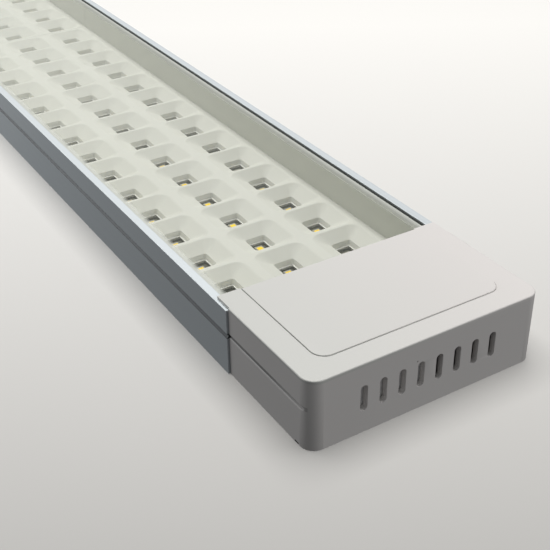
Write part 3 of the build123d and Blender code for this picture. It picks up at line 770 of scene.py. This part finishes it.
def underside():  # the back of one cell from side to side
    p = pocket
    half = rowLayout["columnPitch"] / 2
    return [(-half, p["skin"]), (-p["skinHalf"], p["skin"]), (-p["footHalf"], p["board"]),
            (p["footHalf"], p["board"]), (p["skinHalf"], p["skin"]), (half, p["skin"])]


def pocketCell():
    bm = bmesh.new()
    loops = [[bm.verts.new((x * mm, y * mm, z * mm)) for x, y, z in loop] for loop in pocketLoops()]
    joinRings(bm, loops)
    halfX = rowLayout["rowPitch"] / 2
    ends = [[bm.verts.new((x * mm, y * mm, z * mm)) for y, z in underside()] for x in (-halfX, halfX)]
    for i in (0, 1, 3, 4):  # all but the foot, which has the window in it
        bm.faces.new((ends[0][i], ends[0][i + 1], ends[1][i + 1], ends[1][i]))
    foot = [ends[1][3], ends[0][3], ends[0][2], ends[1][2]]  # one corner for each quarter of the window
    window = loops[0]
    steps = pocket["cornerSteps"] + 1
    for quarter, corner in enumerate(foot):
        arc = window[quarter * steps:(quarter + 1) * steps]
        for a, b in zip(arc, arc[1:]):
            bm.faces.new((a, b, corner))
        following = window[((quarter + 1) * steps) % len(window)]
        bm.faces.new((arc[-1], following, foot[(quarter + 1) % len(foot)], corner))
    bmesh.ops.remove_doubles(bm, verts=bm.verts, dist=pocket["merge"] * mm)
    return bm


def railStations(gridStart, wallStart):  # where a rail has points along the light
    pitch = rowLayout["rowPitch"]
    stations = [tray["seam"], gridStart]
    for row in range(rowLayout["rows"]):
        middle = gridStart + (row + 0.5) * pitch
        stations += [middle + offset for offset in rimOffsets(pitch / 2)[1:]]
    return stations + [wallStart, tray["end"]]


def trayWalls(bm):  # rails at the sides, deck strips at both ends and the end wall, for the near module
    p = pocket
    t = tray
    r = rowLayout
    gridStart = r["firstRow"] - r["rowPitch"] / 2
    gridEnd = gridStart + r["rows"] * r["rowPitch"]
    gridSide = len(r["columns"]) / 2 * r["columnPitch"]
    wallStart = t["end"] - t["wall"]
    corners = [t["seam"]] + [gridStart + row * r["rowPitch"] for row in range(r["rows"] + 1)] + [t["end"]]
    stations = railStations(gridStart, wallStart)
    mouth = t["mouthHalf"]
    top = t["flangeTop"]
    low = top - t["flange"]
    outer = [(t["half"] + t["wall"], p["skin"]), (mouth + t["wall"], low), (t["flangeHalf"], low),
             (t["flangeHalf"], top), (mouth, top)]
    inner = [(t["half"], p["deck"]), (gridSide, p["deck"])]

    def vert(x, y, z):
        return bm.verts.new((x * mm, y * mm, z * mm))

    def strip(x0, x1, section):  # a band along the light, with the same section at both ends
        rungs = [(vert(x0, y, z), vert(x1, y, z)) for y, z in section]
        for a, b in zip(rungs, rungs[1:]):
            if a[0].co != b[0].co:
                bm.faces.new((a[0], b[0], b[1], a[1]))

    for side in (-1, 1):
        lines = [[vert(x, side * y, z) for x in stations] for y, z in outer + inner]
        for x0, x1 in zip(corners, corners[1:]):  # the underside, from each cell's corners to the rail
            beside = [point for x, point in zip(stations, lines[0]) if x0 - t["touch"] < x < x1 + t["touch"]]
            seam = [vert(x, side * gridSide, p["skin"]) for x in (x0, x1)]
            bm.faces.new(seam + beside[::-1])
        for number, (first, second) in enumerate(zip(lines, lines[1:]), start=1):
            hidden = 1 if number >= len(outer) else 0  # no inner faces behind the end wall
            for i in range(len(stations) - 1 - hidden):
                bm.faces.new((first[i], first[i + 1], second[i + 1], second[i]))
    back = [(column * r["columnPitch"] + y, z) for column in r["columns"] for y, z in underside()]
    deck = [(column * r["columnPitch"] + y, p["deck"])
            for column in r["columns"] for y in rimOffsets(r["columnPitch"] / 2)]
    strip(t["seam"], gridStart, back)
    strip(gridEnd, t["end"], back)
    strip(t["seam"], gridStart, deck)
    strip(gridEnd, wallStart, deck)
    across = [(-t["half"], p["deck"])] + deck + [(t["half"], p["deck"])]
    bm.faces.new([vert(wallStart, y, z) for y, z in across + [(mouth, top), (-mouth, top)]])
    bm.faces.new([vert(x, y, top) for x, y in (
        (wallStart, -mouth), (wallStart, mouth), (t["end"], mouth), (t["end"], -mouth))])
    left = [(-y, z) for y, z in outer[::-1]]
    bm.faces.new([vert(t["end"], y, z) for y, z in back + outer + left])
    bm.faces.new([vert(t["seam"], y, z) for y, z in back + outer + across[::-1] + left])


def reflectorModule():
    columns = len(rowLayout["columns"])
    bm = bmesh.new()
    trayWalls(bm)
    bm.from_mesh(repeatRow("pockets", rowOf(pocketCell(), ((0, 0),) * columns), "white_moulding", False))
    bmesh.ops.remove_doubles(bm, verts=bm.verts, dist=tray["merge"] * mm)
    bmesh.ops.dissolve_degenerate(bm, edges=bm.edges, dist=tray["sliver"] * mm)
    bmesh.ops.recalc_face_normals(bm, faces=bm.faces)
    openEdges = sum(1 for edge in bm.edges if not edge.is_manifold)
    print("reflector module:", len(bm.faces), "faces,", openEdges, "open edges")
    return bm


for name, node, turn in (
        ("reflectorNear", "reflector_near", 0.0), ("reflectorFar", "reflector_far", math.pi)):
    module = reflectorModule()
    bmesh.ops.rotate(module, verts=module.verts, cent=(0, 0, 0), matrix=Matrix.Rotation(turn, 3, "Z"))
    addPiece(name, finishMesh(module, name, tray["sharp"]), "light", "white_moulding", node)
print("reflector modules made")


# Studio: pale floor, soft light from above and the sides, the photograph's camera

floorLook = {  # places in metres: the painted light and shade runs along "across", and fades out with distance from "middle"
    "half": 30.0, "near": (0.335, 0.331, 0.32), "far": (1.0, 0.99, 0.96),
    "across": (-0.854, 0.520), "nearAt": -0.308, "farAt": 0.04, "nearShare": 0.13, "rise": 0.58,
    "backFrom": -0.4, "backTo": -1.5, "middle": (0.3, -0.05), "toneFrom": 0.36, "toneTo": 1.3,
}


def paleFloor():  # painted light and shade: darker in the foreground and round the near end, paler with distance, standing in for how the light falls across the floor
    look = floorLook
    f = Finish("paleFloor")
    cloud = f.noise(scale=3.0, detail=2.0)
    distance = f.along("X") * look["across"][0] + f.along("Y") * look["across"][1]
    ahead = f.ramp(distance, look["nearAt"], look["farAt"], look["nearShare"]) ** look["rise"]
    behind = f.ramp(distance, look["backTo"], look["backFrom"], 1.0, 0.0, smooth=True)
    x = f.along("X") - look["middle"][0]
    y = f.along("Y") - look["middle"][1]
    away = f.ramp((x * x + y * y) ** 0.5, look["toneFrom"], look["toneTo"], smooth=True)
    paintedFloorLight = f.between(away, f.between(behind, ahead, 1.0), 1.0)
    f.set(colour=f.mix(paintedFloorLight, look["near"], look["far"]), gloss=0.1,
          rough=f.between(cloud, low=0.75, high=0.85))
    bm = bmesh.new()
    bmesh.ops.create_grid(bm, x_segments=1, y_segments=1, size=look["half"])
    mesh = bpy.data.meshes.new("floor")
    bm.to_mesh(mesh)
    bm.free()
    mesh.materials.append(f.material)
    floor = bpy.data.objects.new("floor", mesh)
    bpy.context.scene.collection.objects.link(floor)
    floor.visible_diffuse = False  # the fills light the sides, and the floor throws nothing back
    floor.visible_glossy = False


lights = {  # in metres and watts, with the pieces that a lamp leaves out, or the only ones that it lights
    "overhead": {"place": (-1.22, 0.30, 2.80), "aim": (0.10, 0.02, 0.0), "size": 1.12, "power": 86.0,
                 "colour": (1.0, 0.985, 0.97), "state": "EXCLUDE", "pieces": ("floor",)},
    "endFill": {"place": (1.1, 0.9, 0.45), "aim": (0.30, 0.0, 0.01), "size": 0.8, "power": 5.0,
                "colour": (1.0, 1.0, 1.0), "state": "EXCLUDE", "pieces": ("floor",)},
    "sideFill": {"place": (-0.25, -0.32, 0.10), "aim": (0.0, -0.04, 0.01), "size": 0.3, "power": 1.04,
                 "colour": (0.97, 0.985, 1.0), "state": "EXCLUDE",
                 "pieces": ("floor", "reflectorNear", "reflectorFar")},
    "floorLamp": {"place": (0.15, 0.05, 1.2), "aim": (0.15, 0.03, 0.0), "size": 1.1, "power": 14.8,
                  "colour": (1.0, 0.985, 0.97), "state": "INCLUDE", "pieces": ("floor",)},
}


def studioLights():
    for name, setting in lights.items():
        lamp = bpy.data.lights.new(name, "AREA")
        lamp.size = setting["size"]
        lamp.energy = setting["power"]
        lamp.color = setting["colour"]
        item = bpy.data.objects.new(name, lamp)
        item.location = setting["place"]
        item.rotation_euler = (Vector(setting["aim"]) - item.location).to_track_quat("-Z", "Y").to_euler()
        bpy.context.scene.collection.objects.link(item)
        listed = bpy.data.collections.new(name + "Pieces")
        for piece in setting["pieces"]:
            listed.objects.link(bpy.data.objects[piece])
        for entry in listed.collection_objects:
            entry.light_linking.link_state = setting["state"]
        item.light_linking.receiver_collection = listed


worldLight = {"above": (0.21, 0.215, 0.22), "below": (0.085, 0.085, 0.085), "blend": 0.35}


def studioWorld():  # a soft room, darker below the horizon
    look = worldLight
    world = bpy.data.worlds.new("studio")
    world.use_nodes = True
    tree = NodeTree(world.node_tree)
    way = tree.node("ShaderNodeTexCoord").outputs["Generated"]
    parts = tree.node("ShaderNodeSeparateXYZ", None, {0: way})
    height = tree.node("ShaderNodeMapRange", None, {
        "Value": parts.outputs["Z"], "From Min": -look["blend"], "From Max": look["blend"]})
    shade = tree.node("ShaderNodeMix", {"data_type": "RGBA"}, {
        0: height.outputs[0], 6: look["below"], 7: look["above"]})
    tree.feed(world.node_tree.nodes["Background"].inputs["Color"], shade.outputs[2])
    bpy.context.scene.world = world


photoCamera = {  # place in metres, angles in degrees, lens and sensor in millimetres
    "place": (0.45775, -0.14195, 0.17291), "azimuth": 58.67, "elevation": 32.44, "roll": -0.79,
    "lens": 67.48, "sensor": 36.0, "nearest": 0.01,
}


def setCamera():
    c = photoCamera
    lens = bpy.data.cameras.new("photoCamera")
    lens.sensor_width = c["sensor"]
    lens.lens = c["lens"]
    lens.clip_start = c["nearest"]
    camera = bpy.data.objects.new("photoCamera", lens)
    turn = Matrix.Rotation(math.radians(c["azimuth"]), 4, "Z")
    tilt = Matrix.Rotation(math.radians(90 - c["elevation"]), 4, "X")
    roll = Matrix.Rotation(math.radians(c["roll"]), 4, "Z")
    camera.matrix_world = Matrix.Translation(c["place"]) @ turn @ tilt @ roll
    bpy.context.scene.collection.objects.link(camera)
    bpy.context.scene.camera = camera


paleFloor()
studioLights()
studioWorld()
setCamera()
bpy.context.scene.view_settings.view_transform = "Standard"
print("studio set")
